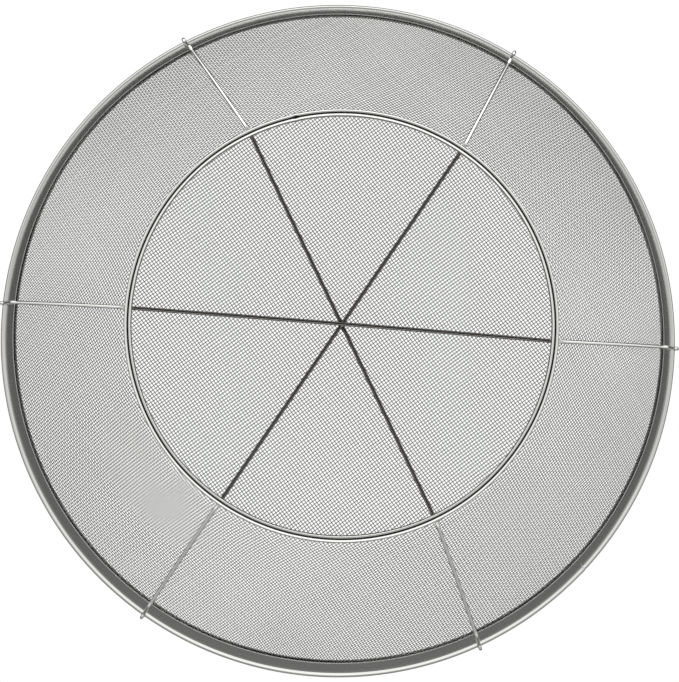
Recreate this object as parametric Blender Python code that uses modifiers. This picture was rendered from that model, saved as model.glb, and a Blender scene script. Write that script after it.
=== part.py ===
"""Round wire-cloth sieve strainer with a foot ring, for straining honey into a tub.

Run with: blender --background --python part.py

The bowl is woven stainless wire cloth, drawn to a flat bottom and a flared wall.  Its edge is
pinched in a folded steel strip, whose top is rolled round a core wire.  Three cross wires run
under the bottom and up the wall, and hook over the rolled rim.  A wire ring is the foot.

Frame: metres, +Z up, the foot stands on z = 0 and the bowl's axis is the Z axis.
"""

import math

import bmesh
import bpy

# ---------------------------------------------------------------------------- driving dimensions
RIM_RADIUS = 0.150  # outside of the rolled rim
HEIGHT = 0.070  # table to the top of the rolled rim
BEAD_DIAMETER = 0.0048  # outside of the rolled rim's section
STRIP_THICKNESS = 0.0005  # sheet that the rim band is folded from
BAND_HEIGHT = 0.016  # lower edge of the rim band to the top of the rim
BAND_INSET = 0.0087  # lower edge of the rim band, inside the rim's outside

CLOTH_THICKNESS = 0.0007  # two crossing wires and their crimp
FLAT_INSET = 0.001  # end of the flat bottom, inside the foot ring's outside
BEND_RADIUS = 0.004  # bend between the bottom and the wall
WALL_CURVE = math.radians(2.12)  # how much flatter the wall starts than its straight line
HUB_CROWN = 0.0006  # rise of the bottom over the crossing of the wires

FOOT_RADIUS = 0.088  # outside of the foot ring
FOOT_WIRE = 0.0032  # wire of the foot ring
CROSS_WIRE = 0.0016  # wire of the three cross wires
HOOK_WRAP = math.radians(75)  # how far a hook reaches past the top of the rim

GAP = 0.0003  # clearance between pieces that touch
FLOOR_GAP = 0.0003  # clearance of the lowest cross wire over the table

# Each cross wire: its place in the stack at the hub (0 is next to the cloth), the direction that
# it runs in, and how far its two ends stand to the side of that direction.  The wires are bent
# and welded by hand, so the ends lie a degree or three off.
CROSS_WIRES = (
    (0, math.radians(60), math.radians(-2.1), math.radians(1.3)),
    (1, math.radians(120), math.radians(-2.8), math.radians(0.55)),
    (2, math.radians(0), math.radians(1.1), math.radians(-2.35)),
)

# ------------------------------------------------------------------------------------ resolution
TURN_STEPS = 72  # flats round every turned piece
FOOT_SIDES = 12  # flats round the foot ring's wire
CORE_SIDES = 10  # flats round the core wire
BEAD_STEPS = 12  # flats round the rolled rim
BEND_STEPS = 3
WALL_STEPS = 6
BOTTOM_STEPS = 4
HOOK_STEPS = 12

# ------------------------------------------------------------------------------------ fits
CROSS_RADIUS = CROSS_WIRE / 2
BEAD_RADIUS = BEAD_DIAMETER / 2
CORE_RADIUS = BEAD_RADIUS - STRIP_THICKNESS - GAP
WIRE_OFFSET = CLOTH_THICKNESS / 2 + GAP + CROSS_RADIUS  # cross wire's axis to the cloth's middle
LEG_INSIDE = CLOTH_THICKNESS / 2 + GAP
LEG_OUTSIDE = LEG_INSIDE + STRIP_THICKNESS
BAND_OFFSET = LEG_OUTSIDE + GAP + CROSS_RADIUS  # cross wire's axis to the band's middle
STACK_PITCH = CROSS_WIRE + GAP

FOOT_LEVEL = FOOT_WIRE + GAP + CROSS_RADIUS  # cross wire's axis over the foot ring
BOTTOM_LEVEL = FOOT_LEVEL + WIRE_OFFSET  # middle of the cloth over the foot ring
MOUTH_RADIUS = RIM_RADIUS - BAND_INSET  # the cloth enters the rim band here
MOUTH_LEVEL = HEIGHT - BAND_HEIGHT
BEAD_CENTRE = (RIM_RADIUS - BEAD_RADIUS, HEIGHT - BEAD_RADIUS)
BAND_SLOPE = math.atan2(BEAD_CENTRE[1] - MOUTH_LEVEL, BEAD_CENTRE[0] - MOUTH_RADIUS)
FLAT_RADIUS = FOOT_RADIUS - FLAT_INSET
STRAIGHT_SLOPE = math.atan2(MOUTH_LEVEL - BOTTOM_LEVEL, MOUTH_RADIUS - FLAT_RADIUS)
WALL_START = STRAIGHT_SLOPE - WALL_CURVE  # slope of the wall just above the bend
LANDING_RADIUS = FOOT_RADIUS - FOOT_WIRE  # cross wires are level from here outwards
FOOT_AXIS_RADIUS = FOOT_RADIUS - FOOT_WIRE / 2


def hub_level(place):
    """Height of a cross wire's axis at the hub, counted down from the cloth."""
    lowest = FLOOR_GAP + CROSS_RADIUS
    return lowest + (len(CROSS_WIRES) - 1 - place) * STACK_PITCH


def crown():
    """Rise of the cloth at the hub, enough to clear the stack of cross wires under it."""
    return max(HUB_CROWN, hub_level(0) + WIRE_OFFSET - BOTTOM_LEVEL)


# ------------------------------------------------------------------------------------ section
def bend_line():
    """Middle of the cloth round the bend at the foot, as (radius, height, slope)."""
    points = []
    for step in range(BEND_STEPS + 1):
        slope = WALL_START * step / BEND_STEPS
        radius = FLAT_RADIUS + BEND_RADIUS * math.sin(slope)
        height = BOTTOM_LEVEL + BEND_RADIUS * (1 - math.cos(slope))
        points.append((radius, height, slope))
    return points


def wall_line():
    """Middle of the cloth up the wall: an arc that leaves the bend smoothly and ends at the mouth."""
    start_radius, start_height, start_slope = bend_line()[-1]
    run = MOUTH_RADIUS - start_radius
    rise = MOUTH_LEVEL - start_height
    chord_slope = math.atan2(rise, run)
    half_turn = chord_slope - start_slope
    chord = math.hypot(run, rise)
    points = []
    for step in range(1, WALL_STEPS + 1):
        turned = 2 * half_turn * step / WALL_STEPS
        reach = chord * math.sin(turned / 2) / math.sin(half_turn)
        direction = start_slope + turned / 2
        radius = start_radius + reach * math.cos(direction)
        height = start_height + reach * math.sin(direction)
        points.append((radius, height, start_slope + turned))
    return points


def beside(point, offset):
    """Move a (radius, height, slope) point to the outer, lower side of its line."""
    radius, height, slope = point
    return (radius + offset * math.sin(slope), height - offset * math.cos(slope))


def band_point(along, offset):
    """Point in the rim band's section: along its slope from the bead's centre, and to its outer side."""
    return beside(
        (
            BEAD_CENTRE[0] + along * math.cos(BAND_SLOPE),
            BEAD_CENTRE[1] + along * math.sin(BAND_SLOPE),
            BAND_SLOPE,
        ),
        offset,
    )


def band_length():
    """Length of the rim band's legs, from the mouth to the bead's centre."""
    return math.hypot(BEAD_CENTRE[0] - MOUTH_RADIUS, BEAD_CENTRE[1] - MOUTH_LEVEL)


def arc(centre, radius, start, end, steps):
    """Points on an arc, both ends included."""
    points = []
    for step in range(steps + 1):
        angle = start + (end - start) * step / steps
        points.append((centre[0] + radius * math.cos(angle), centre[1] + radius * math.sin(angle)))
    return points


def crowned(radius, edge_radius, edge_level, rise):
    """Height of a shallow parabola that reaches edge_level at edge_radius and stays level outside."""
    share = min(radius / edge_radius, 1.0)
    return edge_level + rise * (1 - share * share)


# ------------------------------------------------------------------------------------ makers
def steel(name, colour, roughness):
    """Stainless steel with one colour and roughness."""
    material = bpy.data.materials.new(name)
    material.use_nodes = True
    shader = material.node_tree.nodes["Principled BSDF"]
    shader.inputs["Base Color"].default_value = (*colour, 1.0)
    shader.inputs["Metallic"].default_value = 1.0
    shader.inputs["Roughness"].default_value = roughness
    material.diffuse_color = (*colour, 1.0)
    return material


def place(obj, collection, axis, material):
    """Put an object in the model's collection, under the axis empty."""
    obj.data.materials.append(material)
    collection.objects.link(obj)
    obj.parent = axis
    return obj


def turned(name, profile, closed):
    """Turn a section, given in the XZ plane with its outer side running down, about the Z axis."""
    mesh = bpy.data.meshes.new(name)
    section = bmesh.new()
    corners = [section.verts.new((radius, 0.0, height)) for radius, height in profile]
    for first, second in zip(corners, corners[1:]):
        section.edges.new((first, second))
    if closed:
        section.edges.new((corners[-1], corners[0]))
    section.to_mesh(mesh)
    section.free()
    obj = bpy.data.objects.new(name, mesh)
    screw = obj.modifiers.new("Turn", "SCREW")
    screw.steps = TURN_STEPS
    screw.render_steps = TURN_STEPS
    screw.use_merge_vertices = True
    screw.merge_threshold = 0.00001
    screw.use_smooth_shade = True
    return obj


def wire_ring(name, axis_radius, axis_height, wire_radius, sides):
    """Closed ring of round wire, measured across its flats, with a flat underneath."""
    corner_radius = wire_radius / math.cos(math.pi / sides)
    half_flat = math.pi / sides
    first = math.pi / 2 - half_flat
    section = arc((axis_radius, axis_height), corner_radius, first, first - 2 * math.pi, sides)
    return turned(name, section[:-1], closed=True)


# ------------------------------------------------------------------------------------ pieces
def make_cloth():
    """Woven wire bowl as a thin closed shell: a crowned flat bottom, a bend, a wall and an edge."""
    bottom = []
    for step in range(BOTTOM_STEPS):
        radius = FLAT_RADIUS * step / BOTTOM_STEPS
        bottom.append((radius, crowned(radius, FLAT_RADIUS, BOTTOM_LEVEL, crown()), 0.0))
    wall = wall_line()
    mouth_radius, mouth_height, wall_slope = wall[-1]
    wall[-1] = (mouth_radius, mouth_height, (wall_slope + BAND_SLOPE) / 2)
    middle = bottom + bend_line() + wall
    edge = -(CORE_RADIUS + 2 * GAP)
    half = CLOTH_THICKNESS / 2
    inner = [beside(point, -half) for point in middle] + [band_point(edge, -half)]
    outer = [beside(point, half) for point in middle] + [band_point(edge, half)]
    return turned("wire_cloth_bowl", inner + outer[::-1], closed=False)


def make_rim_band():
    """Folded strip: two legs that pinch the cloth's edge, and a bead rolled round the core wire."""
    inner_radius = BEAD_RADIUS - STRIP_THICKNESS
    outer_open = math.asin(LEG_OUTSIDE / BEAD_RADIUS)
    inner_open = math.asin(LEG_INSIDE / inner_radius)
    down = BAND_SLOPE - math.pi
    outside = arc(BEAD_CENTRE, BEAD_RADIUS, down + 2 * math.pi - outer_open, down + outer_open, BEAD_STEPS)
    inside = arc(BEAD_CENTRE, inner_radius, down + inner_open, down + 2 * math.pi - inner_open, BEAD_STEPS)
    low = -band_length()
    section = outside
    section += [band_point(low, LEG_OUTSIDE), band_point(low, LEG_INSIDE)]
    section += inside
    section += [band_point(low, -LEG_INSIDE), band_point(low, -LEG_OUTSIDE)]
    return turned("rim_band", section, closed=True)


def make_core_wire():
    """Stiffening wire inside the rolled rim."""
    return wire_ring("rim_core_wire", BEAD_CENTRE[0], BEAD_CENTRE[1], CORE_RADIUS, CORE_SIDES)


def make_foot_ring():
    """Ring of round wire that the strainer stands on."""
    return wire_ring("foot_ring", FOOT_AXIS_RADIUS, FOOT_WIRE / 2, FOOT_WIRE / 2, FOOT_SIDES)


def half_wire_line(place_in_stack):
    """One half of a cross wire, from the hub to its hooked end, as (radius, height)."""
    rise = hub_level(place_in_stack) - FOOT_LEVEL
    steps = 2 * BOTTOM_STEPS
    line = []
    for step in range(steps + 1):
        radius = LANDING_RADIUS * step / steps
        line.append((radius, crowned(radius, LANDING_RADIUS, FOOT_LEVEL, rise)))
    line += [beside(point, WIRE_OFFSET) for point in bend_line()]
    line += [beside(point, WIRE_OFFSET) for point in wall_line()[:-1]]
    line.append(band_point(-band_length(), BAND_OFFSET))
    hook_radius = BEAD_RADIUS + GAP + CROSS_RADIUS
    down = BAND_SLOPE - math.pi
    start = down + math.asin(BAND_OFFSET / hook_radius)
    line += arc(BEAD_CENTRE, hook_radius, start, math.pi / 2 + HOOK_WRAP, HOOK_STEPS)
    return line


def swung(line, drift):
    """Place a half wire in plan, its end swung sideways by the drift as it climbs the wall."""
    reach = RIM_RADIUS - FOOT_RADIUS
    points = []
    for radius, height in line:
        share = min(max((radius - FOOT_RADIUS) / reach, 0.0), 1.0)
        angle = drift * share * RIM_RADIUS / max(radius, FOOT_RADIUS)
        points.append((radius * math.cos(angle), radius * math.sin(angle), height))
    return points


def make_cross_wire(number, place_in_stack, direction, near_drift, far_drift):
    """One cross wire from rim to rim, hooked over the rolled rim at both ends."""
    line = half_wire_line(place_in_stack)
    near = swung(line, near_drift)
    far = [(-x, -y, z) for x, y, z in swung(line, far_drift)]
    path = far[:0:-1] + near
    curve = bpy.data.curves.new(f"cross_wire_{number}", "CURVE")
    curve.dimensions = "3D"
    curve.bevel_depth = CROSS_RADIUS
    curve.bevel_resolution = 2
    curve.use_fill_caps = True
    spline = curve.splines.new("POLY")
    spline.points.add(len(path) - 1)
    for point, (x, y, z) in zip(spline.points, path):
        point.co = (x, y, z, 1.0)
        point.radius = 1.0
    obj = bpy.data.objects.new(f"cross_wire_{number}", curve)
    obj.rotation_euler = (0.0, 0.0, direction)
    return obj


# ------------------------------------------------------------------------------------ model
def main():
    for obj in list(bpy.data.objects):
        bpy.data.objects.remove(obj, do_unlink=True)

    collection = bpy.data.collections.new("sieve_strainer")
    bpy.context.scene.collection.children.link(collection)
    axis = bpy.data.objects.new("strainer_axis", None)
    collection.objects.link(axis)

    woven = steel("woven stainless wire", (0.60, 0.60, 0.58), 0.40)
    sheet = steel("polished stainless strip", (0.66, 0.66, 0.64), 0.22)
    drawn = steel("drawn stainless wire", (0.70, 0.70, 0.68), 0.28)

    place(make_cloth(), collection, axis, woven)
    place(make_rim_band(), collection, axis, sheet)
    place(make_core_wire(), collection, axis, drawn)
    place(make_foot_ring(), collection, axis, drawn)
    for number, (stack, direction, near_drift, far_drift) in enumerate(CROSS_WIRES, start=1):
        wire = make_cross_wire(number, stack, direction, near_drift, far_drift)
        place(wire, collection, axis, drawn)


main()
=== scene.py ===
# %% [markdown]
# # A round wire-cloth sieve, seen from underneath
#
# The strainer is a bowl of woven stainless wire.  A folded steel strip holds the cloth's edge,
# its top rolled into a round bead.  Three bent wires run under the bottom, and a wire ring is the
# foot.  The imported CAD model is the frame: it says where each piece is, and this script makes the
# surfaces that the eye sees.  Loading it comes first, and its box is kept.

# %% Load the imported model as the frame
import math

import bpy
import numpy as np
from mathutils import Matrix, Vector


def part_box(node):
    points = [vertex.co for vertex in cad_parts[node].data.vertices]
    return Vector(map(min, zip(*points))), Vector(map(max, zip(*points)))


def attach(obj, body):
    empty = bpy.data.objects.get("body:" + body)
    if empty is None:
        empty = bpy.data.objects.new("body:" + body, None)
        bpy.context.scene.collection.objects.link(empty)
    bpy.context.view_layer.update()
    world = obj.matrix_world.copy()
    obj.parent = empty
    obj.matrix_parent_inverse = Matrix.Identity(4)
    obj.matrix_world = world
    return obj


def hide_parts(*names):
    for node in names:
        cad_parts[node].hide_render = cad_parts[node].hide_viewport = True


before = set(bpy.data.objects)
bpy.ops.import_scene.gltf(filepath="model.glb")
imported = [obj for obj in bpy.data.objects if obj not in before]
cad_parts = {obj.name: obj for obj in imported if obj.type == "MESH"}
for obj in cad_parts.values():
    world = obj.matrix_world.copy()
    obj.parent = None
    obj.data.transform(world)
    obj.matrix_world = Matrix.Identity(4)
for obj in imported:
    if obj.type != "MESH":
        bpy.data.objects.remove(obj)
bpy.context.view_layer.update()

print("CAD nodes:", sorted(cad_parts))

# %% [markdown]
# # Sizes
#
# The frame gives the sizes that can be read from a box: how wide and high the rim is, how wide
# the foot ring is and how thick its wire is.  They could be typed in as numbers, but read from the
# frame they follow the CAD model.  All lengths are in metres, so a millimetre is written as mm.

# %% Read the frame's own sizes
mm = 0.001
_, band_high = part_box("rim_band")
foot_low, foot_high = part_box("foot_ring")

RIM_RADIUS = band_high.x
RIM_TOP = band_high.z
FOOT_RADIUS = foot_high.x
FOOT_WIRE = foot_high.z - foot_low.z
print(f"rim {2 * RIM_RADIUS / mm:.1f} mm across, {RIM_TOP / mm:.1f} mm high")
print(f"foot {2 * FOOT_RADIUS / mm:.1f} mm across, of {FOOT_WIRE / mm:.1f} mm wire")

# %% [markdown]
# The other sizes are drawn ones that no box shows: the folded strip and its bead, the thin wires
# and the clearance between two pieces, and the bowl's gentle bends.  They repeat the CAD model's
# values.  What follows from them is worked out, so that one change moves everything that rests
# on it: the cross wires lie on the foot ring, and the cloth lies on the cross wires.

# %% Name the drawn sizes
BEAD_RADIUS = 2.4 * mm
STRIP = 0.5 * mm
BAND_HEIGHT = 16 * mm
BAND_INSET = 8.7 * mm
SLOT_HALF = 0.65 * mm

CROSS_RADIUS = 0.8 * mm
CLEAR = 0.3 * mm
CLOTH_HALF = 0.35 * mm

HUB_CROWN = 0.6 * mm
BEND_RADIUS = 4 * mm
WALL_CURVE = math.radians(2.12)
FLAT_RADIUS = FOOT_RADIUS - 1 * mm

FOOT_AXIS = FOOT_RADIUS - FOOT_WIRE / 2
FOOT_LEVEL = FOOT_WIRE + CLEAR + CROSS_RADIUS
WIRE_OFFSET = CLOTH_HALF + CLEAR + CROSS_RADIUS
BAND_OFFSET = SLOT_HALF + STRIP + CLEAR + CROSS_RADIUS
BOTTOM_LEVEL = FOOT_LEVEL + WIRE_OFFSET

MOUTH = np.array([RIM_RADIUS - BAND_INSET, RIM_TOP - BAND_HEIGHT])
BEAD = np.array([RIM_RADIUS - BEAD_RADIUS, RIM_TOP - BEAD_RADIUS])
BAND_LENGTH = math.hypot(*(BEAD - MOUTH))
BAND_SLOPE = math.atan2(*(BEAD - MOUTH)[::-1])
print(f"the bottom's cloth lies {BOTTOM_LEVEL / mm:.2f} mm up, its mouth {MOUTH[1] / mm:.2f} mm")

# %% [markdown]
# # The bowl's section
#
# Every round part of the strainer follows one curve, from the middle of the bottom to the rim.
# It could be drawn by hand as a Bezier curve.  Here it is integrated from its slope instead: the
# slope is a short list of knots along the length, it is smoothed a little as sheet and wire do
# when they bend, and adding up cos and sin of the slope gives radius and height.  One table then
# serves the cloth, the cross wires and the rim, so they can't drift apart.

# %% Integrate the section from its slope
def smooth(values, window):
    """Mean of each value with its neighbours, over a window of that many samples."""
    padded = np.pad(values, window // 2, mode="edge")
    return np.convolve(padded, np.ones(window) / window, mode="valid")[: len(values)]


SPARE = 30 * mm


def bowl_section(step=0.02 * mm, bend_window=1.2 * mm):
    """Radius, height and slope along the cloth, at equal steps of length.

    Radius is the running sum of cos(slope) and height that of sin(slope).  The slope is nearly
    flat over the bottom, rises evenly round the bend and the wall, and is constant in the band.
    The table goes on for a spare length past the band, for the nets and wires that overshoot.
    """
    rise, run = (MOUTH - (FLAT_RADIUS, BOTTOM_LEVEL))[::-1]
    start = math.atan2(rise, run) - WALL_CURVE
    bend_end = np.array([
        FLAT_RADIUS + BEND_RADIUS * math.sin(start),
        BOTTOM_LEVEL + BEND_RADIUS * (1 - math.cos(start)),
    ])
    chord = MOUTH - bend_end
    half_turn = math.atan2(chord[1], chord[0]) - start
    lengths = [
        FLAT_RADIUS,
        BEND_RADIUS * start,
        math.hypot(*chord) * half_turn / math.sin(half_turn),
        BAND_LENGTH,
    ]
    ends = np.cumsum([0, *lengths])
    crown_slope = -2 * HUB_CROWN / FLAT_RADIUS
    along = np.arange(0, ends[-1] + SPARE, step)
    knots = [0, ends[1], ends[1] + step, ends[2], ends[3], ends[3] + step]
    slopes = [0, crown_slope, 0, start, start + 2 * half_turn, BAND_SLOPE]
    slope = smooth(np.interp(along, knots, slopes), int(bend_window / step) | 1)
    radius = np.concatenate([[0], np.cumsum(np.cos(slope[:-1]))]) * step
    height = np.concatenate([[0], np.cumsum(np.sin(slope[:-1]))]) * step
    return along, radius, height + BOTTOM_LEVEL + HUB_CROWN, slope


S_LENGTH, S_RADIUS, S_HEIGHT, S_SLOPE = bowl_section()
print("points in the section:", len(S_LENGTH))


# %% Read the section at a radius
def cloth_height(radius):
    """Height of the cloth's middle at a radius, read from the section."""
    return np.interp(radius, S_RADIUS, S_HEIGHT)


def cloth_grade(radius):
    """Rise of the cloth per unit of radius, the tangent of its slope."""
    return np.tan(np.interp(radius, S_RADIUS, S_SLOPE))


print(f"cloth at the mouth: {cloth_height(MOUTH[0]) / mm:.2f} mm, CAD {MOUTH[1] / mm:.2f} mm")

# %% [markdown]
# # Putting arrays into a mesh
#
# Pieces here have up to a hundred thousand faces, so no face is made one at a time.  Corners and
# faces are numpy arrays, and `foreach_set` copies them into the mesh in one go.  Each piece also
# gets a `grain` attribute, a place on its own surface measured round and along it in millimetres,
# so that a drawn or rolled finish can follow the metal whichever way it was bent.

# %% Make a piece from arrays
def faces_out(name, corners, faces, grain=None, uv=None):
    """A mesh object at the origin.  faces is a list of arrays, each with its own corner count."""
    mesh = bpy.data.meshes.new(name)
    mesh.vertices.add(len(corners))
    mesh.vertices.foreach_set("co", np.ascontiguousarray(corners, np.float32).ravel())
    loops = np.concatenate([f.ravel() for f in faces]).astype(np.int32)
    counts = np.concatenate([np.full(len(f), f.shape[1]) for f in faces])
    starts = np.concatenate([[0], np.cumsum(counts)[:-1]]).astype(np.int32)
    mesh.loops.add(len(loops))
    mesh.loops.foreach_set("vertex_index", loops)
    mesh.polygons.add(len(counts))
    mesh.polygons.foreach_set("loop_start", starts)
    mesh.polygons.foreach_set("use_smooth", np.ones(len(counts), bool))
    mesh.update(calc_edges=True)
    if grain is not None:
        layer = mesh.attributes.new("grain", "FLOAT_VECTOR", "POINT")
        layer.data.foreach_set("vector", np.ascontiguousarray(grain, np.float32).ravel())
    if uv is not None:
        layer = mesh.uv_layers.new(name="OFBake")
        layer.uv.foreach_set("vector", np.ascontiguousarray(uv, np.float32).ravel())
    piece = bpy.data.objects.new(name, mesh)
    bpy.context.scene.collection.objects.link(piece)
    return piece


def unit(vectors):
    """Each vector at length one."""
    return vectors / np.linalg.norm(vectors, axis=-1, keepdims=True)


def place(piece, nodes, material):
    """Finish a piece: it rides on the one body, stands for its CAD nodes and takes its finish."""
    piece.data.materials.append(material)
    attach(piece, "root")
    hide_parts(*nodes)
    return piece


print("the direction of (3, 4) is", unit(np.array([3.0, 4.0])))

# %% [markdown]
# # Materials
#
# The whole strainer is 304 stainless steel, and what tells its parts apart is how each surface
# was made.  Wire is pulled through a die, which leaves fine lines along it and a bright skin.
# The strip is rolled, polished and bent, with lines round the bowl.  Woven cloth is annealed and
# a little duller.  Steel has no colour of its own beyond a warm grey, so each finish is a plain
# grey metal whose tone wanders.  Colours are written as sRGB hex, as a paint chart would give
# them, and one function turns them to linear light.

# %% Colour and node helpers
def linear(code):
    """Linear RGBA from an sRGB hex code: below 0.04045 divided by 12.92, above it a 2.4 power."""
    srgb = np.array([int(code[k:k + 2], 16) for k in (1, 3, 5)]) / 255
    low, high = srgb / 12.92, ((srgb + 0.055) / 1.055) ** 2.4
    return (*np.where(srgb <= 0.04045, low, high), 1.0)


def add(tree, kind, settings=None, **links):
    """Add a node.  settings go on the node or, by number or name, on its inputs; links are
    sockets that feed the inputs of those names."""
    node = tree.nodes.new(kind)
    for key, value in (settings or {}).items():
        if isinstance(key, int) or key in node.inputs:
            node.inputs[key].default_value = value
        else:
            setattr(node, key, value)
    for key, socket in links.items():
        tree.links.new(socket, node.inputs[key.replace("_", " ")])
    return node


def new_steel(name, roughness):
    """A metal Principled material and its tree, shader and grain attribute.  A metal's mirror
    strength comes from its colour, so the IOR keeps its default."""
    material = bpy.data.materials.new(name)
    material.use_nodes = True
    tree = material.node_tree
    shader = tree.nodes["Principled BSDF"]
    shader.inputs["Metallic"].default_value = 1.0
    shader.inputs["Roughness"].default_value = roughness
    grain = add(tree, "ShaderNodeAttribute", {"attribute_name": "grain"})
    return material, tree, shader, grain.outputs["Vector"]


print("sRGB #808080 in linear light:", round(float(linear("#808080")[0]), 3))

# %% [markdown]
# ## The cloth's finish
#
# Wire for weaving is annealed so that it takes the crimp, and each wire lies half in the shade of
# its neighbours.  So the cloth looks greyer and duller than the wires that carry it.  A flat
# sheet with a picture of cloth would be lighter to render, but the wires here are real tubes,
# and the finish has only to give them their steel: mid grey, roughness about a quarter, and a
# tone that wanders from place to place.

# %% Woven cloth: annealed 304 wire
REEL_PATCH = 20 * mm


def woven_steel():
    """Annealed 304 wire.  Each wire came from its own reel and the annealing was never quite even,
    so the tone shifts a little from place to place.  Marks finer than the wire itself wouldn't
    be seen, and none are drawn."""
    material, tree, shader, _ = new_steel("annealed_304_wire_cloth", 0.24)
    spot = add(tree, "ShaderNodeTexCoord").outputs["Object"]
    reel = add(tree, "ShaderNodeTexNoise", {"Scale": 1 / REEL_PATCH, "Detail": 3.0}, Vector=spot)
    tone = add(
        tree, "ShaderNodeMix",
        {"data_type": "RGBA", 6: linear("#70706b"), 7: linear("#8c8c87")},
        Factor=reel.outputs["Fac"],
    )
    tree.links.new(tone.outputs[2], shader.inputs["Base Color"])
    return material


CLOTH_STEEL = woven_steel()
print("finish:", CLOTH_STEEL.name)

# %% [markdown]
# ## The wires' finish
#
# The foot ring, the core and the cross wires are bright drawn wire.  The die polishes the skin
# and leaves long fine lines, so the wire mirrors its surroundings in narrow bands.  Brushed
# metal is often faked with a stretched picture.  A noise on the piece's own grain does the same
# with no picture, and it follows every bend.  Die lines are finer than would show, so on the
# cross wires they are drawn coarser.  The two rings are measured another way, and there the same
# noise is a fine, even grain.  Across the bottom the cross wires are painted darker than up the
# wall, and their tone changes at the foot ring: this is painted shade, for the dark that the
# bottom's wires mirror from below.

# %% Drawn wire: the foot ring and the cross wires
DIE_LINES = (5.0, 5.0, 0.04)
# Millimetres from the hub over which the bottom's painted shade gives way to the bright tone.
PAINTED_SHADE_FROM_HUB = {"From Min": 84, "From Max": 92}
WIRE_GLOSS = {"From Min": 0.3, "From Max": 0.7, "To Min": 0.10, "To Max": 0.18}


def drawn_steel(name, dark, light, shade_tone=None):
    """Bright drawn 304 wire.  Die lines run along a cross wire: the noise there is over 100 times
    longer than wide.  A wire can take a darker tone up to the foot ring, by its millimetres from
    the hub: painted shade, standing for the dark that the bottom's wires mirror from below."""
    material, tree, shader, grain = new_steel(name, 0.22)
    die = add(tree, "ShaderNodeMapping", {"Scale": DIE_LINES}, Vector=grain)
    lines = add(tree, "ShaderNodeTexNoise", {"Scale": 1.0, "Detail": 4.0}, Vector=die.outputs[0])
    tone = add(
        tree, "ShaderNodeMix",
        {"data_type": "RGBA", 6: linear(dark), 7: linear(light)},
        Factor=lines.outputs["Fac"],
    )
    # The darker tone up to the foot ring is painted shade: it stands for the dark these wires
    # mirror from below.
    if shade_tone:
        along = add(tree, "ShaderNodeSeparateXYZ", Vector=grain)
        from_hub = add(tree, "ShaderNodeMath", {"operation": "ABSOLUTE"})
        tree.links.new(along.outputs["Z"], from_hub.inputs[0])
        unshaded_share = add(tree, "ShaderNodeMapRange", PAINTED_SHADE_FROM_HUB, Value=from_hub.outputs[0])
        mixed = add(
            tree, "ShaderNodeMix", {"data_type": "RGBA", 6: linear(shade_tone)},
            Factor=unshaded_share.outputs["Result"],
        )
        tree.links.new(tone.outputs[2], mixed.inputs[7])
        tone = mixed
    tree.links.new(tone.outputs[2], shader.inputs["Base Color"])
    gloss = add(tree, "ShaderNodeMapRange", WIRE_GLOSS, Value=lines.outputs["Fac"])
    tree.links.new(gloss.outputs["Result"], shader.inputs["Roughness"])
    return material


WIRE_STEEL = drawn_steel("bright_drawn_304_wire", "#bcbcb9", "#e2e2df")
# The cross wires carry painted shade across the bottom, where they mirror the dark below.
CROSS_STEEL = drawn_steel("drawn_304_wire_painted_shade_bottom", "#bcbcb9", "#e2e2df", "#615f5c")
WELD_STEEL = drawn_steel("resistance_welded_304", "#8d8780", "#c9c5be")
print("finishes:", [m.name for m in (WIRE_STEEL, CROSS_STEEL, WELD_STEEL)])

# %% [markdown]
# ## The band's finish
#
# The rim band is polished strip, bent round after it was rolled.  Its mill lines run round the
# rim, and the bending leaves slow waves of tone.  A painted grey would look dead here: it is
# the mirror of a wide, soft light that makes the band read as sheet metal.  So it is a light
# grey metal, a little rougher than the wire, with its lines stretched far along the bend.

# %% Rolled strip: the rim band
MILL_LINES = (0.02, 6.0, 1.0)
BAND_GLOSS = {"From Min": 0.3, "From Max": 0.7, "To Min": 0.12, "To Max": 0.24}


def rolled_steel():
    """Polished 304 strip.  Mill lines run round the rim: the noise is 300 times longer than
    wide, so along the bend only slow waves of tone are left."""
    material, tree, shader, grain = new_steel("rolled_304_strip", 0.2)
    mill = add(tree, "ShaderNodeMapping", {"Scale": MILL_LINES}, Vector=grain)
    lines = add(tree, "ShaderNodeTexNoise", {"Scale": 1.0, "Detail": 3.0}, Vector=mill.outputs[0])
    tone = add(
        tree, "ShaderNodeMix",
        {"data_type": "RGBA", 6: linear("#9c9c99"), 7: linear("#cececb")},
        Factor=lines.outputs["Fac"],
    )
    tree.links.new(tone.outputs[2], shader.inputs["Base Color"])
    gloss = add(tree, "ShaderNodeMapRange", BAND_GLOSS, Value=lines.outputs["Fac"])
    tree.links.new(gloss.outputs["Result"], shader.inputs["Roughness"])
    return material


BAND_STEEL = rolled_steel()
print("finish:", BAND_STEEL.name)

# %% [markdown]
# # Laying square cloth over a bowl
#
# Flat wire cloth is a square net.  Pressed into a bowl its wires can't stretch, so every mesh
# keeps its side length and turns from a square into a rhombus.  Such a net is fixed by two wires
# that cross in the middle: each further crossing lies one pitch from its two inner neighbours.
# Copying a flat weave and projecting it down the wall would be simpler, but its meshes would
# stretch, and the fans and chevrons that real cloth shows up the wall would be missing.
#
# The crossings are solved a diagonal at a time: all the points of one diagonal depend only on the
# two before it, so each takes a few Newton steps on whole arrays.  A quarter of the net turned
# four times makes the whole.

# %% Solve the net of crossings
PITCH = 1.235 * mm
CLOTH_WIRE = 0.32 * mm
WEAVE_TURN = math.radians(50.5)
NET_REACH = 142
NEWTON_STEPS = 7


def on_cloth(xy):
    """Points of the cloth's middle over plan points."""
    return np.concatenate([xy, cloth_height(np.hypot(*xy.T))[:, None]], axis=1)


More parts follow.
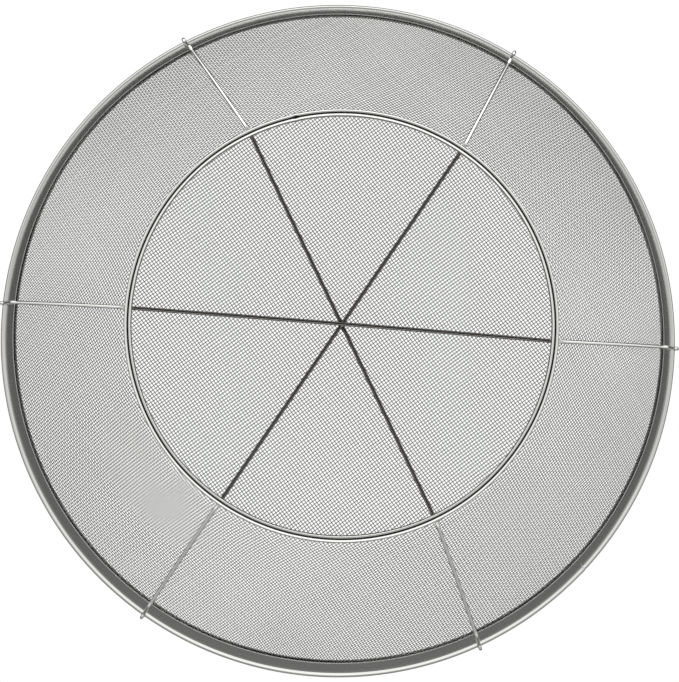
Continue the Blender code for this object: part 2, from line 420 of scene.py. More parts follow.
def one_pitch_from(first, second, guess):
    """Plan points one pitch from two known crossings, by Newton's method.

    The two unknowns x and y make the squared distances to both crossings equal the squared
    pitch; the height follows from the section, and its grade enters the derivatives.
    """
    xy = guess.copy()
    for _ in range(NEWTON_STEPS):
        here = on_cloth(xy)
        radius = np.maximum(np.hypot(*xy.T), 1e-9)
        grade = (cloth_grade(radius) / radius)[:, None] * xy
        a, b = here - first, here - second
        miss_a = (a * a).sum(1) - PITCH**2
        miss_b = (b * b).sum(1) - PITCH**2
        slope_a = 2 * (a[:, :2] + a[:, 2:] * grade)
        slope_b = 2 * (b[:, :2] + b[:, 2:] * grade)
        det = slope_a[:, 0] * slope_b[:, 1] - slope_a[:, 1] * slope_b[:, 0]
        step_x = (miss_a * slope_b[:, 1] - miss_b * slope_a[:, 1]) / det
        step_y = (slope_a[:, 0] * miss_b - slope_b[:, 0] * miss_a) / det
        xy = xy - np.stack([step_x, step_y], axis=1)
    return xy


print(f"cloth of {CLOTH_WIRE / mm:.2f} mm wire, {PITCH / mm:.3f} mm from wire to wire")

# %% Fill a quarter of the net, then turn it
def quarter_net(reach):
    """Plan points of the crossings (i, j) with i and j from 0 to reach, wires 0 along X and Y."""
    net = np.full((reach + 1, reach + 1, 2), np.nan)
    middle = np.interp(np.arange(reach + 1) * PITCH, S_LENGTH, S_RADIUS)
    net[:, 0] = np.stack([middle, 0 * middle], axis=1)
    net[0, :] = np.stack([0 * middle, middle], axis=1)
    for diagonal in range(2, 2 * reach + 1):
        i = np.arange(max(1, diagonal - reach), min(diagonal, reach + 1))
        j = diagonal - i
        left, below, inner = net[i - 1, j], net[i, j - 1], net[i - 1, j - 1]
        guess = left + below - inner
        near = np.isfinite(guess).all(1) & (np.hypot(*guess.T) < S_RADIUS[-1])
        i, j, left, below, guess = i[near], j[near], left[near], below[near], guess[near]
        if len(i):
            net[i, j] = one_pitch_from(on_cloth(left), on_cloth(below), guess)
    return net


def whole_net(reach):
    """The quarter turned four times: (i, j) goes to (-j, i) as the point turns by 90 degrees."""
    quarter = quarter_net(reach)
    net = np.full((2 * reach + 1, 2 * reach + 1, 2), np.nan)
    i, j = np.meshgrid(np.arange(reach + 1), np.arange(reach + 1), indexing="ij")
    for quarters in range(4):
        c, s = [(1, 0), (0, 1), (-1, 0), (0, -1)][quarters]
        turned = quarter @ np.array([[c, s], [-s, c]])
        net[c * i - s * j + reach, s * i + c * j + reach] = turned
    return net


net = whole_net(NET_REACH)
print("crossings solved:", int(np.isfinite(net[..., 0]).sum()))

# %% [markdown]
# # Weaving
#
# In a plain weave each wire goes over one neighbour and under the next.  At crossing (i, j) the
# warp sits a wire's radius to one side of the net and the weft as far to the other, and the side
# swaps from crossing to crossing, so it is the sign of (-1)^(i + j).  Looms aren't perfect: every
# wire stands a few hundredths of a millimetre off its place, and the sheet drifts a little where
# the press has dragged it.  The drift is slow sine waves, and the random draws are seeded.

# %% Place the two families of wires
CLOTH_IN_BAND = 0.22
WIRE_STRAY = 0.03 * mm
PRESS_DRAG = 0.10 * mm
DRAG_WAVES = (23 * mm, 37 * mm, 61 * mm)
mouth_length = np.interp(MOUTH[0], S_RADIUS, S_LENGTH)
EDGE_RADIUS = np.interp(mouth_length + CLOTH_IN_BAND * BAND_LENGTH, S_LENGTH, S_RADIUS)
weaver = np.random.default_rng(7)


def unsettled(net):
    """The net with each wire set off its place, and the sheet dragged in slow waves."""
    reach = len(net) // 2
    across_i = unit(np.roll(net, -1, 0) - np.roll(net, 1, 0))
    across_j = unit(np.roll(net, -1, 1) - np.roll(net, 1, 1))
    off = weaver.normal(0, WIRE_STRAY, (2, 2 * reach + 1))
    moved = net + across_i * off[0][:, None, None] + across_j * off[1][None, :, None]
    for wave in DRAG_WAVES:
        heading, phase = weaver.uniform(0, 2 * np.pi, 2)
        front = np.array([math.cos(heading), math.sin(heading)])
        swing = PRESS_DRAG * np.sin(net @ front * 2 * np.pi / wave + phase)
        moved = moved + swing[..., None] * front[::-1] * (1, -1)
    return np.where(np.isfinite(moved), moved, net)


print(f"the cloth's edge is {EDGE_RADIUS / mm:.2f} mm from the axis, inside the band")

# %% Lift the crossings onto the bowl
turn = np.array([
    [math.cos(WEAVE_TURN), math.sin(WEAVE_TURN)],
    [-math.sin(WEAVE_TURN), math.cos(WEAVE_TURN)],
])
crossings = unsettled(net) @ turn
radius = np.hypot(crossings[..., 0], crossings[..., 1])
inside = np.nan_to_num(radius, nan=1.0) < EDGE_RADIUS
grade = cloth_grade(np.nan_to_num(radius)) / np.maximum(np.nan_to_num(radius), 1e-9)
up = unit(np.concatenate([-crossings * grade[..., None], np.ones_like(radius)[..., None]], axis=-1))
middle = np.concatenate([crossings, cloth_height(np.nan_to_num(radius))[..., None]], axis=-1)
parity = 1 - 2 * (np.indices(radius.shape).sum(0) % 2)
lift = up * (parity * CLOTH_WIRE / 2)[..., None]
print("crossings in the cloth:", int(inside.sum()))

# %% [markdown]
# # From crossings to wires
#
# A wire is a tube along its crossings.  Curves with a bevel would do for ten wires, but there are
# about five hundred, with a hundred thousand crimps between them.  So all the wires of one
# batch are one array: every crossing gets a ring of five corners, square to the wire's own
# direction, and each ring is joined to the next unless the wire ends there.  Five corners with
# smooth shading look round, because a wire is thinner than a hair's breadth on the screen.

# %% Tubes for a batch of wires
CLOTH_SIDES = 5
ROUND_SIDES = 16


def wires(name, centres, above, first, radius, sides, uv_row=None, grain_along=None):
    """Closed tubes along several runs of points.

    A corner is its point plus radius times (cos a * side + sin a * top), where side is the
    direction of the wire crossed with the given upward vector.  first marks where runs begin.
    """
    count = len(centres)
    last = np.append(first[1:], True)
    here = np.arange(count)
    ahead = unit(centres[np.where(last, here, here + 1)] - centres[np.where(first, here, here - 1)])
    side = unit(np.cross(ahead, above))
    top = np.cross(side, ahead)
    angle = (np.arange(sides) + 0.5) * 2 * np.pi / sides
    ring = np.cos(angle)[:, None] * side[:, None] + np.sin(angle)[:, None] * top[:, None]
    corners = centres[:, None] + np.broadcast_to(radius, count)[:, None, None] * ring
    m = np.arange(sides)
    nxt = (m + 1) % sides
    k = here[~last][:, None] * sides
    quads = np.stack([k + m, k + sides + m, k + sides + nxt, k + nxt], axis=-1).reshape(-1, 4)
    starts = here[first][:, None] * sides + m
    ends = here[last][:, None] * sides + m[::-1]
    along = np.zeros(count) if grain_along is None else grain_along
    grain = np.stack([
        np.broadcast_to(np.cos(angle), (count, sides)),
        np.broadcast_to(np.sin(angle), (count, sides)),
        np.broadcast_to(along[:, None], (count, sides)),
    ], axis=-1)
    uv = None if uv_row is None else tube_map(first, last, sides, uv_row)
    return faces_out(name, corners.reshape(-1, 3), [quads, starts, ends], grain.reshape(-1, 3), uv)


def tube_map(first, last, sides, rows):
    """A flat layout of the tubes: each run is a row, its rings are columns, and nothing overlaps.

    A side's four corners lie at (ring, ring + 1) across and at nine tenths of the row's height
    shared between the sides.  The two end caps are small polygons at either end of the row.
    """
    run = np.cumsum(first) - 1
    column = np.arange(len(first)) - np.flatnonzero(first)[run]
    wide = column.max() + 4
    k, m = np.arange(len(first))[~last], np.arange(sides)
    u = np.stack([column[k], column[k] + 1, column[k] + 1, column[k]], axis=-1)[:, None] + 2
    v = run[k][:, None, None] + 0.05 + 0.9 * np.stack([m, m, m + 1, m + 1], axis=-1) / sides
    u = np.broadcast_to(u, v.shape) / wide
    v = v / rows
    turn_round = (m + 0.5) * 2 * np.pi / sides
    cap_u, cap_v = 0.4 * np.cos(turn_round), 0.4 * np.sin(turn_round)
    begin, end = np.flatnonzero(first), np.flatnonzero(last)
    caps = [
        (1 + cap_u + 0 * begin[:, None], run[begin][:, None] + 0.5 + cap_v),
        (column[end][:, None] + 3 + cap_u, run[end][:, None] + 0.5 + cap_v),
    ]
    parts = [np.stack([u, v], axis=-1).reshape(-1, 2)]
    parts += [np.stack([a / wide, b / rows], axis=-1).reshape(-1, 2) for a, b in caps]
    return np.concatenate(parts)


print("corners round a wire of the cloth:", CLOTH_SIDES, "and round a cross wire:", ROUND_SIDES)

# %% Weave the cloth
BATCHES = 5


def batch_of_wires(name, points, above, keep):
    """The wires of some rows of the net, each from edge to edge of the cloth."""
    row, column = np.nonzero(keep)
    first = np.append(True, (np.diff(row) != 0) | (np.diff(column) != 1))
    run, over = points[row, column], above[row, column]
    return wires(name, run, over, first, CLOTH_WIRE / 2, CLOTH_SIDES, first.sum())


def weave(family, points, above, keep):
    """One family of wires in batches with about as many crossings each."""
    rows = keep.sum(1)
    batch = np.minimum(np.cumsum(rows) * BATCHES // max(rows.sum(), 1), BATCHES - 1)
    for number in range(BATCHES):
        chosen = keep & (batch == number)[:, None]
        piece = batch_of_wires(f"cloth_{family}_{number + 1}", points, above, chosen)
        place(piece, ["wire_cloth_bowl"], CLOTH_STEEL)
        print(piece.name, len(piece.data.polygons), "faces")


weave("warp", middle + lift, up, inside)
weave("weft", (middle - lift).transpose(1, 0, 2), up.transpose(1, 0, 2), inside.T)

# %% [markdown]
# # The rim band
#
# A strip of 0.5 mm sheet is folded over the cloth's edge, and its fold is rolled into a round
# bead with a wire inside.  A Screw modifier would turn the section, but turning it as an array
# makes room for what a lathe leaves out: the butt joint where the strip's two ends meet, with
# one end standing a touch proud.  The section is the sheet's middle line, moved half a thickness
# to each side, with round lips.

# %% Lines in the section's plane
def arc(centre, radius, start, end, count):
    """Points on an arc in the radius-height plane."""
    angle = np.linspace(start, end, count)
    return centre + radius * np.stack([np.cos(angle), np.sin(angle)], axis=-1)


def evenly(points, step):
    """The same line with points at equal steps of length."""
    length = np.concatenate([[0], np.cumsum(np.linalg.norm(np.diff(points, axis=0), axis=1))])
    at = np.linspace(0, length[-1], int(length[-1] / step) + 2)
    return np.stack([np.interp(at, length, axis) for axis in points.T], axis=-1)


def softened(points, step, window):
    """The line with its corners rounded, by averaging over a window of length; ends stay."""
    line = evenly(points, step)
    return np.stack([smooth(axis, int(window / step) | 1) for axis in line.T], axis=-1)


def by_bend(points, longest=2.0 * mm, sharpest=math.radians(9)):
    """The same line with fewer points: close together where it turns and far apart elsewhere.

    The points are at equal steps of length / longest + turn / sharpest, summed along the line.
    """
    step = np.diff(points, axis=0)
    heading = np.unwrap(np.arctan2(step[:, 1], step[:, 0]))
    turn = np.abs(np.diff(heading, append=heading[-1]))
    each = np.linalg.norm(step, axis=1) / longest + turn / sharpest
    cost = np.concatenate([[0], np.cumsum(each)])
    at = np.linspace(0, cost[-1], int(cost[-1]) + 2)
    return np.stack([np.interp(at, cost, axis) for axis in points.T], axis=-1)


def signed_area(outline):
    """Area inside a closed outline by the shoelace sum, positive when it runs anticlockwise."""
    ahead = np.roll(outline, -1, 0)
    return np.sum(outline[:, 0] * ahead[:, 1] - ahead[:, 0] * outline[:, 1]) / 2


print("points on a half circle by its bend:", len(by_bend(arc(BEAD, BEAD_RADIUS, 0, math.pi, 80))))

# %% Fold the strip
LIP_OFFSET = 0.60 * mm


def strip_section():
    """Closed outline of the strip.  Its two legs lean in until their lips pinch the cloth."""
    leg = SLOT_HALF + STRIP / 2
    turn_radius = BEAD_RADIUS - STRIP / 2
    open_half = math.asin(leg / turn_radius)
    along = np.array([math.cos(BAND_SLOPE), math.sin(BAND_SLOPE)])
    outward = np.array([math.sin(BAND_SLOPE), -math.cos(BAND_SLOPE)])
    low = BEAD - along * (BAND_LENGTH - STRIP)
    down = BAND_SLOPE + math.pi
    bead = arc(BEAD, turn_radius, down + open_half, down + 2 * math.pi - open_half, 80)
    line = np.concatenate([[low + outward * LIP_OFFSET], bead, [low - outward * LIP_OFFSET]])
    line = by_bend(softened(line, 0.05 * mm, 0.9 * mm))
    ahead = unit(np.gradient(line, axis=0))
    right = np.stack([ahead[:, 1], -ahead[:, 0]], axis=-1)
    half = STRIP / 2
    start = math.atan2(*right[0][::-1])
    lip_a = arc(line[0], half, start, start - math.pi, 7)[1:-1]
    start = math.atan2(*-right[-1][::-1])
    lip_b = arc(line[-1], half, start, start - math.pi, 7)[1:-1]
    return np.concatenate([line - right * half, lip_b, (line + right * half)[::-1], lip_a])


section = strip_section()
sheet_area = abs(signed_area(section)) / mm**2
print("strip section:", len(section), "points, sheet area", round(sheet_area, 2), "mm2")

# %% Turn an outline into a ring
def turned_angles(count, joint, width):
    """Evenly spread angles, with 25 more within four widths of a joint."""
    near = joint + np.linspace(-4, 4, 25) * width
    spread = np.linspace(0, 2 * np.pi, count, endpoint=False)
    return np.unique(np.round(np.concatenate([spread, near]) % (2 * np.pi), 5))


def turned(name, outline, angles, swell=None):
    """A closed outline turned about Z.  A corner is (r cos a, r sin a, z) for each outline point
    (r, z) and each angle a.  swell moves each ring of corners along the outline's own outward
    direction, by one length for each angle."""
    edge = np.roll(outline, -1, 0) - np.roll(outline, 1, 0)
    area = signed_area(outline)
    outward = unit(np.stack([edge[:, 1], -edge[:, 0]], axis=-1)) * np.sign(area)
    if area > 0:
        outline, outward = outline[::-1], outward[::-1]
    count, sides = len(angles), len(outline)
    flat = np.broadcast_to(outline, (count, sides, 2))
    if swell is not None:
        flat = flat + outward * swell[:, None, None]
    c, s = np.cos(angles)[:, None], np.sin(angles)[:, None]
    corners = np.stack([flat[..., 0] * c, flat[..., 0] * s, flat[..., 1]], axis=-1)
    k, m = np.arange(count)[:, None], np.arange(sides)[None]
    k1, m1 = (k + 1) % count, (m + 1) % sides
    quads = np.stack([k * sides + m, k * sides + m1, k1 * sides + m1, k1 * sides + m], axis=-1)
    length = np.cumsum(np.linalg.norm(np.diff(outline, axis=0, append=outline[:1]), axis=1)) / mm
    grain = np.stack([
        np.cos(angles)[:, None] * outline[:, 0] / mm + 0 * length,
        np.broadcast_to(length, (count, sides)),
        np.sin(angles)[:, None] * outline[:, 0] / mm * 0.02 + 0 * length,
    ], axis=-1)
    return faces_out(name, corners.reshape(-1, 3), [quads.reshape(-1, 4)], grain.reshape(-1, 3))


print("angles of a small ring with a joint:", len(turned_angles(36, 0.0, 0.01)))

# %% Turn the strip, with its butt joint
RIM_JOINT = math.radians(219)
JOINT_GROOVE = 0.16 * mm
JOINT_PROUD = 0.06 * mm
joint_width = 0.35 * mm / RIM_RADIUS
band_angles = turned_angles(480, RIM_JOINT, joint_width)
from_joint = (band_angles - RIM_JOINT) / joint_width
groove = -JOINT_GROOVE * np.exp(-from_joint**2)
proud = JOINT_PROUD * np.exp(-((from_joint - 3) / 6) ** 2) * (from_joint > 0)
rim_band = turned("rim_band_strip", section, band_angles, groove + proud)
place(rim_band, ["rim_band"], BAND_STEEL)
print(rim_band.name, len(rim_band.data.polygons), "faces")

# %% [markdown]
# # The core wire and the foot ring
#
# Both are rings of round wire, so both are a circle turned about Z.  The core wire lies inside the
# rolled bead and only its ends would ever show.  The foot ring was bent from straight wire and
# its ends butt-welded: the weld is a low swelling, ground down where the strainer stands.  A
# torus primitive would be quicker, but it has no joint and no grain along the wire.

# %% Turn the core wire
core_low, core_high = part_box("rim_core_wire")
core_radius = (core_high.z - core_low.z) / 2
core_circle = arc(BEAD, core_radius, 0, 2 * math.pi, 21)[:-1]
core_wire = turned("rim_core", core_circle, turned_angles(300, RIM_JOINT, joint_width))
place(core_wire, ["rim_core_wire"], WIRE_STEEL)
print(core_wire.name, f"{2 * core_radius / mm:.1f} mm wire,", len(core_wire.data.polygons), "faces")

# %% Turn the foot ring, with its weld
FOOT_JOINT = math.radians(73)
WELD_SWELL = 0.14 * mm
foot_circle = arc(np.array([FOOT_AXIS, FOOT_WIRE / 2]), FOOT_WIRE / 2, 0, 2 * math.pi, 41)[:-1]
weld_width = 1.1 * mm / FOOT_RADIUS
foot_angles = turned_angles(420, FOOT_JOINT, weld_width)
from_weld = (foot_angles - FOOT_JOINT) / weld_width
foot_ring = turned("foot_ring_wire", foot_circle, foot_angles, WELD_SWELL * np.exp(-from_weld**2))
foot_corners = np.zeros(len(foot_ring.data.vertices) * 3, np.float32)
foot_ring.data.vertices.foreach_get("co", foot_corners)
foot_corners = foot_corners.reshape(-1, 3)
foot_corners[:, 2] = np.clip(foot_corners[:, 2], 0, FOOT_WIRE)
foot_ring.data.vertices.foreach_set("co", foot_corners.ravel())
foot_ring.data.update()
place(foot_ring, ["foot_ring"], WIRE_STEEL)
print(foot_ring.name, f"{FOOT_WIRE / mm:.1f} mm wire,", len(foot_ring.data.polygons), "faces")

# %% [markdown]
# # The cross wires
#
# Each cross wire runs under the bottom, over the foot ring, up the outside of the wall and over
# the bead, where it is bent into a hook.  All three follow the bowl's section, a little below it,
# so a wire is that section moved sideways by its clearance, plus an arc round the bead.  A curve
# drawn by hand would need all its points again whenever the bowl changed.  At the hub the three
# are stacked, and a shallow bow lets them cross.  The wires were bent and welded by hand, so
# their ends lie a degree or three to the side.

# %% Line of half a cross wire
HOOK_RADIUS = BEAD_RADIUS + CLEAR + CROSS_RADIUS
HOOK_WRAP_DEGREES = 75
HOOK_END = math.radians(90 + HOOK_WRAP_DEGREES)
LANDING_RADIUS = FOOT_RADIUS - FOOT_WIRE
STACK_PITCH = 2 * CROSS_RADIUS + CLEAR
HUB_LOWEST = CLEAR + CROSS_RADIUS
LINE_STEP = 0.15 * mm
BEND_WINDOW = 1.2 * mm


def half_line(hub_level):
    """Radius and height of a cross wire from the hub to its tip, with its bends rounded."""
    radius = np.linspace(0, LANDING_RADIUS, 60)
    bow = (hub_level - FOOT_LEVEL) * (1 - (radius / LANDING_RADIUS) ** 2)
    bottom = np.stack([radius, FOOT_LEVEL + bow], axis=-1)
    wall = (S_RADIUS > FLAT_RADIUS) & (S_RADIUS < MOUTH[0] - 1.5 * mm)
    slope = S_SLOPE[wall]
    aside = np.stack([np.sin(slope), -np.cos(slope)], axis=-1)
    wall_line = np.stack([S_RADIUS[wall], S_HEIGHT[wall]], axis=-1) + aside * WIRE_OFFSET
    outward = np.array([math.sin(BAND_SLOPE), -math.cos(BAND_SLOPE)])
    start = BAND_SLOPE - math.pi + math.asin(BAND_OFFSET / HOOK_RADIUS)
    hook = arc(BEAD, HOOK_RADIUS, start, HOOK_END, 60)
    line = np.concatenate([bottom, wall_line, [MOUTH + outward * BAND_OFFSET], hook])
    return softened(line, LINE_STEP, BEND_WINDOW)


def swung(line, drift):
    """The half line in plan: the angle from its direction grows evenly from the foot to the rim."""
    share = np.clip((line[:, 0] - FOOT_RADIUS) / (RIM_RADIUS - FOOT_RADIUS), 0, 1)
    angle = drift * share * RIM_RADIUS / np.maximum(line[:, 0], FOOT_RADIUS)
    return np.stack([line[:, 0] * np.cos(angle), line[:, 0] * np.sin(angle), line[:, 1]], axis=-1)


print(f"half a cross wire is {len(half_line(FOOT_LEVEL)) * LINE_STEP / mm:.0f} mm long")

# %% Round the tips of a wire
TIP_STEPS = 6
TIP_REACH = 0.985


def rounded_tips(points, radius):
    """Points and radii of a wire whose two ends are domes, radius times sqrt(1 - t squared).

    t stops just short of one, so that the last ring keeps some width and closes with a flat.
    """
    t = np.sin(np.linspace(0, np.pi / 2, TIP_STEPS + 1))[1:] * TIP_REACH
    tails = []
    for end, inner in ((points[0], points[1]), (points[-1], points[-2])):
        tails.append(end + unit(end - inner) * radius * t[:, None])
    dome = radius * np.sqrt(1 - t**2)
    radii = np.concatenate([dome[::-1], np.full(len(points), radius), dome])
    return np.concatenate([tails[0][::-1], points, tails[1]]), radii


print("rings in each rounded tip:", TIP_STEPS)

# %% Make the three wires
RING_STEP = 0.55 * mm
# Each row: place in the stack from the top, direction, and how far each end drifts, in degrees.
CROSS_WIRES = {
    "cross_wire_1": (0, 60, -2.1, 1.3),
    "cross_wire_2": (1, 120, -2.8, 0.55),
    "cross_wire_3": (2, 0, 1.1, -2.35),
}


def cross_wire(node, place_in_stack, direction, near_drift, far_drift):
    """One cross wire from hook to hook, bent from straight wire."""
    line = half_line(HUB_LOWEST + (2 - place_in_stack) * STACK_PITCH)
    near = swung(line, math.radians(near_drift))
    far = swung(line, math.radians(far_drift)) * (-1, -1, 1)
    path = evenly(np.concatenate([far[:0:-1], near]), RING_STEP)
    heading = math.radians(direction)
    c, s = math.cos(heading), math.sin(heading)
    path = path @ np.array([[c, s, 0], [-s, c, 0], [0, 0, 1]])
    path, radii = rounded_tips(path, CROSS_RADIUS)
    first = np.arange(len(path)) == 0
    above = np.tile([-s, c, 0.0], (len(path), 1))
    length = np.concatenate([[0], np.cumsum(np.linalg.norm(np.diff(path, axis=0), axis=1))]) / mm
    from_hub = length - length[-1] / 2
    piece = wires(node + "_bent", path, above, first, radii, ROUND_SIDES, grain_along=from_hub)
    place(piece, [node], CROSS_STEEL)
    print(piece.name, f"{length[-1]:.0f} mm of wire")


for node, shape in CROSS_WIRES.items():
    cross_wire(node, *shape)

# %% [markdown]
# # The welds
#
# Wire on wire is resistance-welded: pressed and heated until the two sink into each other, with
# a small collar of squeezed metal and a straw tint.  A real one could be modelled by joining the
# two wires with a Boolean, but that would merge pieces that are separate here.  So a weld is a
# flattened ball with a slightly uneven skin, set in the gap between two wires.  All the welds of
# one kind are one piece.

# %% A row of flattened balls
BALL_RINGS, BALL_SIDES = 9, 14
LUMPINESS = 0.04


def collars(name, centres, radii, headings):
    """Flattened balls: (cos t cos a, cos t sin a, sin t), scaled on three axes, turned and moved.

    A ball is quads between its rings of corners, and a fan of triangles at each pole.
    """
    rings, sides = BALL_RINGS, BALL_SIDES
    tilt = np.linspace(-np.pi / 2, np.pi / 2, rings + 2)[1:-1]
    spin = np.arange(sides) * 2 * np.pi / sides
    shell = np.stack([
        np.cos(tilt)[:, None] * np.cos(spin),
        np.cos(tilt)[:, None] * np.sin(spin),
        np.broadcast_to(np.sin(tilt)[:, None], (rings, sides)),
    ], axis=-1).reshape(-1, 3)
    ball = np.concatenate([shell, [[0, 0, -1], [0, 0, 1]]])
    k, m = np.arange(rings - 1)[:, None] * sides, np.arange(sides)[None]
    m1 = (m + 1) % sides
    quads = np.stack([k + m, k + m1, k + sides + m1, k + sides + m], axis=-1).reshape(-1, 4)
    m, m1 = m[0], m1[0]
    low, high = rings * sides, rings * sides + 1
    last = (rings - 1) * sides
    foot = np.stack([m1, m, np.full(sides, low)], axis=-1)
    head = np.stack([m + last, m1 + last, np.full(sides, high)], axis=-1)
    lumps = 1 + weaver.normal(0, LUMPINESS, (len(centres), len(ball), 1))
    c, s = np.cos(headings), np.sin(headings)
    spun = np.stack([np.stack([c, s], -1), np.stack([-s, c], -1)], axis=1)
    sized = ball * lumps * np.asarray(radii)[None, None]
    sized[..., :2] = sized[..., :2] @ spun
    corners = sized + np.asarray(centres)[:, None]
    shift = np.arange(len(centres))[:, None, None] * len(ball)
    faces = [(f[None] + shift).reshape(-1, f.shape[1]) for f in (quads, foot, head)]
    return faces_out(name, corners.reshape(-1, 3), faces, corners.reshape(-1, 3) / mm)


print("corners in a weld:", BALL_RINGS * BALL_SIDES + 2)

# %% Find where the wires cross the rings
def wire_angles(radius):
    """World angles of the six cross-wire halves at a radius, in the order of CROSS_WIRES."""
    share = np.clip((radius - FOOT_RADIUS) / (RIM_RADIUS - FOOT_RADIUS), 0, 1)
    swing = share * RIM_RADIUS / max(radius, FOOT_RADIUS)
    rows = [(d + n * swing, d + 180 + f * swing) for _, d, n, f in CROSS_WIRES.values()]
    return np.radians(np.array(rows).ravel())


def ringed(radius, height, angles):
    """Points at one radius and height, at several angles."""
    flat = [radius * np.cos(angles), radius * np.sin(angles)]
    return np.stack([*flat, 0 * angles + height], axis=-1)


foot_angles = wire_angles(FOOT_AXIS)
rim_angles = wire_angles(RIM_RADIUS)
print("directions at the rim:", np.round(np.degrees(rim_angles), 1))

# %% Set the welds
FOOT_COLLAR = (1.15 * mm, 0.95 * mm, 0.6 * mm)
HUB_COLLAR = (1.0 * mm, 1.0 * mm, 0.55 * mm)
RIM_COLLAR = (0.45 * mm, 0.9 * mm, 1.1 * mm)
RIM_WELD_LEAN = math.radians(-12)

foot_spots = ringed(FOOT_AXIS, FOOT_WIRE + CLEAR / 2, foot_angles)
foot_welds = collars("foot_welds", foot_spots, FOOT_COLLAR, foot_angles)

hub_levels = HUB_LOWEST + (np.arange(2) + 0.5) * STACK_PITCH
hub_spots = np.stack([0 * hub_levels, 0 * hub_levels, hub_levels], axis=-1)
hub_welds = collars("hub_welds", hub_spots, HUB_COLLAR, np.radians([60, 120]))

rim_reach = BEAD_RADIUS + CLEAR / 2
rim_out = BEAD[0] + rim_reach * math.cos(RIM_WELD_LEAN)
rim_up = BEAD[1] + rim_reach * math.sin(RIM_WELD_LEAN)
rim_welds = collars("rim_welds", ringed(rim_out, rim_up, rim_angles), RIM_COLLAR, rim_angles)

for welds in (foot_welds, hub_welds, rim_welds):
    welds.data.materials.append(WELD_STEEL)
    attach(welds, "root")
    print(welds.name, len(welds.data.polygons), "faces")

# %% [markdown]
# # The floor
#
# The strainer stands on plain matt paper, and it is looked at from underneath, through the place
# where the paper is.  The paper could be left out, but then nothing would ground the strainer
# when it is seen from above.  So the floor is one-sided: from above it is paper, and from below
# it lets the eye through.

# %% A pale one-sided floor
FLOOR_HALF = 9.0


def paper_floor():
    """A large square at the foot's level whose underside isn't there for the eye."""
    size = FLOOR_HALF
    corners = np.array([[-size, -size, 0], [size, -size, 0], [size, size, 0], [-size, size, 0]])
    floor = faces_out("paper_floor", corners, [np.array([[0, 1, 2, 3]])])
    material = bpy.data.materials.new("matt_paper")
    material.use_nodes = True
    tree = material.node_tree
    shader = tree.nodes["Principled BSDF"]
    shader.inputs["Base Color"].default_value = linear("#f1f1ef")
    shader.inputs["Roughness"].default_value = 0.9
    shader.inputs["Specular IOR Level"].default_value = 0.0
    side = add(tree, "ShaderNodeNewGeometry").outputs["Backfacing"]
    clear = add(tree, "ShaderNodeBsdfTransparent")
    mix = add(tree, "ShaderNodeMixShader", Fac=side)
    tree.links.new(shader.outputs[0], mix.inputs[1])
    tree.links.new(clear.outputs[0], mix.inputs[2])
    tree.links.new(mix.outputs[0], tree.nodes["Material Output"].inputs["Surface"])
    floor.data.materials.append(material)
    floor.visible_diffuse = False
    floor.visible_glossy = False
    floor.visible_transmission = False
    floor.visible_shadow = False
    return floor


floor = paper_floor()
print(floor.name, f"{2 * FLOOR_HALF:.0f} m wide")

# %% [markdown]
# # The light
#
# Polished metal shows what stands round it, so lighting it means drawing its surroundings.  Area
# lamps would do for a box, but every wire here would mirror their edges.  A light tent is softer:
# a wide ring of light with a dark opening below and a dark gap above.  The opening draws the dark
# line along each wire.  It is all in the world's nodes, by the height of the direction that a
# mirror ray leaves in: -1 is straight down, 0 is level and 1 is straight up.

# %% A light tent
TENT_LIGHT = {-1.0: 0.015, -0.91: 0.015, -0.82: 1.0, 0.22: 1.0, 0.42: 0.14, 0.84: 0.14, 0.92: 0.8}
TENT_LEAN = {-1.0: 0.12, -0.45: 0.12, -0.08: 0.92, 0.18: 0.92, 0.38: 0.2}
TENT_STRENGTH = 1.15


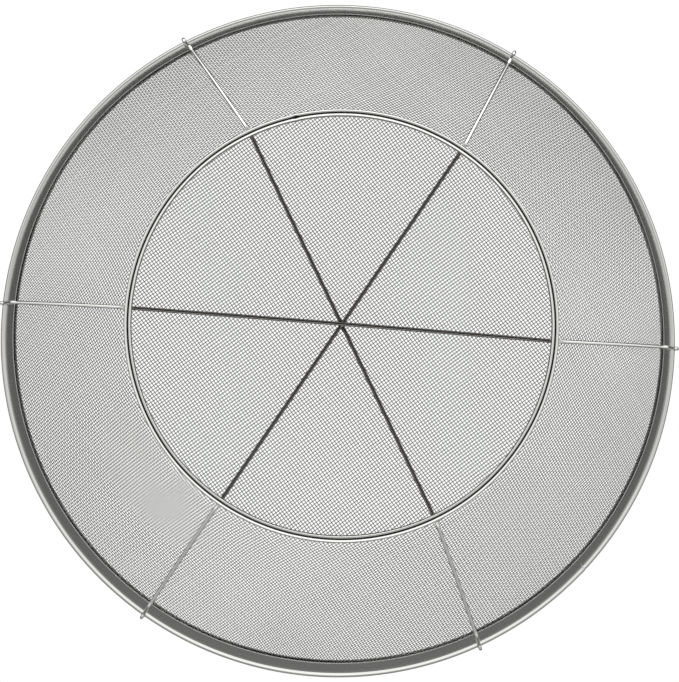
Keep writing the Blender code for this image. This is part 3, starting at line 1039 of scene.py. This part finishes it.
def light_tent():
    """What the metal mirrors, by direction: dark straight below, a wide ring of soft light round
    the strainer, dark again above it, and a white sheet overhead.  At the rim's height the ring is
    brightest along +Y, and elsewhere along -Y: the light is the first table times exp(y * lean),
    with lean from the second.  Only mirror rays see the ring.  The eye and the paper see plain
    white, which keeps the paper evenly pale."""
    world = bpy.data.worlds.new("light_tent")
    bpy.context.scene.world = world
    world.use_nodes = True
    world.cycles.sampling_method = "NONE"
    tree = world.node_tree
    tree.nodes.clear()
    heading = add(tree, "ShaderNodeTexCoord").outputs["Generated"]
    axes = add(tree, "ShaderNodeSeparateXYZ", Vector=heading)
    whole = {"From Min": -1.0, "From Max": 1.0}
    rise = add(tree, "ShaderNodeMapRange", whole, Value=axes.outputs["Z"])
    ramps = []
    for table in (TENT_LIGHT, TENT_LEAN):
        ramp = add(tree, "ShaderNodeValToRGB", Fac=rise.outputs["Result"])
        stops = ramp.color_ramp.elements
        stops.remove(stops[1])
        for z, grey in table.items():
            stop = stops.new((z + 1) / 2) if z > -1 else stops[0]
            stop.color = (grey, grey, grey, 1)
        ramps.append(ramp.outputs["Color"])
    lean = add(tree, "ShaderNodeMapRange", {"To Min": -1.0, "To Max": 1.0}, Value=ramps[1])
    fall = add(tree, "ShaderNodeMath", {"operation": "MULTIPLY"})
    tree.links.new(axes.outputs["Y"], fall.inputs[0])
    tree.links.new(lean.outputs["Result"], fall.inputs[1])
    side = add(tree, "ShaderNodeMath", {"operation": "EXPONENT"})
    tree.links.new(fall.outputs[0], side.inputs[0])
    light = add(tree, "ShaderNodeMath", {"operation": "MULTIPLY"})
    tree.links.new(ramps[0], light.inputs[0])
    tree.links.new(side.outputs[0], light.inputs[1])
    lit = add(tree, "ShaderNodeMath", {"operation": "MULTIPLY", 1: TENT_STRENGTH})
    tree.links.new(light.outputs[0], lit.inputs[0])
    tent = add(tree, "ShaderNodeBackground", {"Color": (1, 1, 1, 1)}, Strength=lit.outputs[0])
    white = add(tree, "ShaderNodeBackground", {"Color": (1, 1, 1, 1), "Strength": 1.0})
    mirrored = add(tree, "ShaderNodeLightPath").outputs["Is Glossy Ray"]
    mix = add(tree, "ShaderNodeMixShader", Fac=mirrored)
    tree.links.new(white.outputs[0], mix.inputs[1])
    tree.links.new(tent.outputs[0], mix.inputs[2])
    output = add(tree, "ShaderNodeOutputWorld")
    tree.links.new(mix.outputs[0], output.inputs["Surface"])


light_tent()
bpy.context.scene.view_settings.view_transform = "Standard"
print("world:", bpy.context.scene.world.name)

# %% [markdown]
# # Camera
#
# The camera looks up at the bottom from about two and a half rim widths away, tipped a few
# degrees off the axis, so the rim shows a little more of its bead on one side than on the other.
# A Track To constraint could aim it, but it would leave the roll and the small shift to chance.
# So its axes are worked out from two tilts and a roll, and go into its matrix.

# %% Aim the camera
DISTANCE = 0.7146
ROLL = math.radians(175.57)
TIP_UP, TIP_SIDE = math.radians(4.12), math.radians(1.03)
NUDGE_SIDE, NUDGE_UP = 0.20 * mm, -2.11 * mm
LENS = 84.77


def aim_camera():
    """A camera below the strainer.  Its forward direction is +Z plus two small tilts, and its own
    axes follow from cross products."""
    right = np.array([math.cos(ROLL), math.sin(ROLL), 0])
    top = np.array([math.sin(ROLL), -math.cos(ROLL), 0])
    forward = unit(np.array([0, 0, 1.0]) + math.tan(TIP_UP) * top + math.tan(TIP_SIDE) * right)
    side = unit(np.cross(forward, top))
    above = np.cross(side, forward)
    spot = np.array([0, 0, BEAD[1]]) - forward * DISTANCE + side * NUDGE_SIDE + above * NUDGE_UP
    camera = bpy.data.objects.new("camera", bpy.data.cameras.new("camera"))
    bpy.context.scene.collection.objects.link(camera)
    matrix = np.eye(4)
    matrix[:3, 0], matrix[:3, 1], matrix[:3, 2], matrix[:3, 3] = side, above, -forward, spot
    camera.matrix_world = Matrix(matrix.tolist())
    camera.data.lens = LENS
    camera.data.clip_start = 0.01
    bpy.context.scene.camera = camera
    return camera


camera = aim_camera()
print(f"camera {DISTANCE:.2f} m from the rim's middle, {LENS} mm lens")
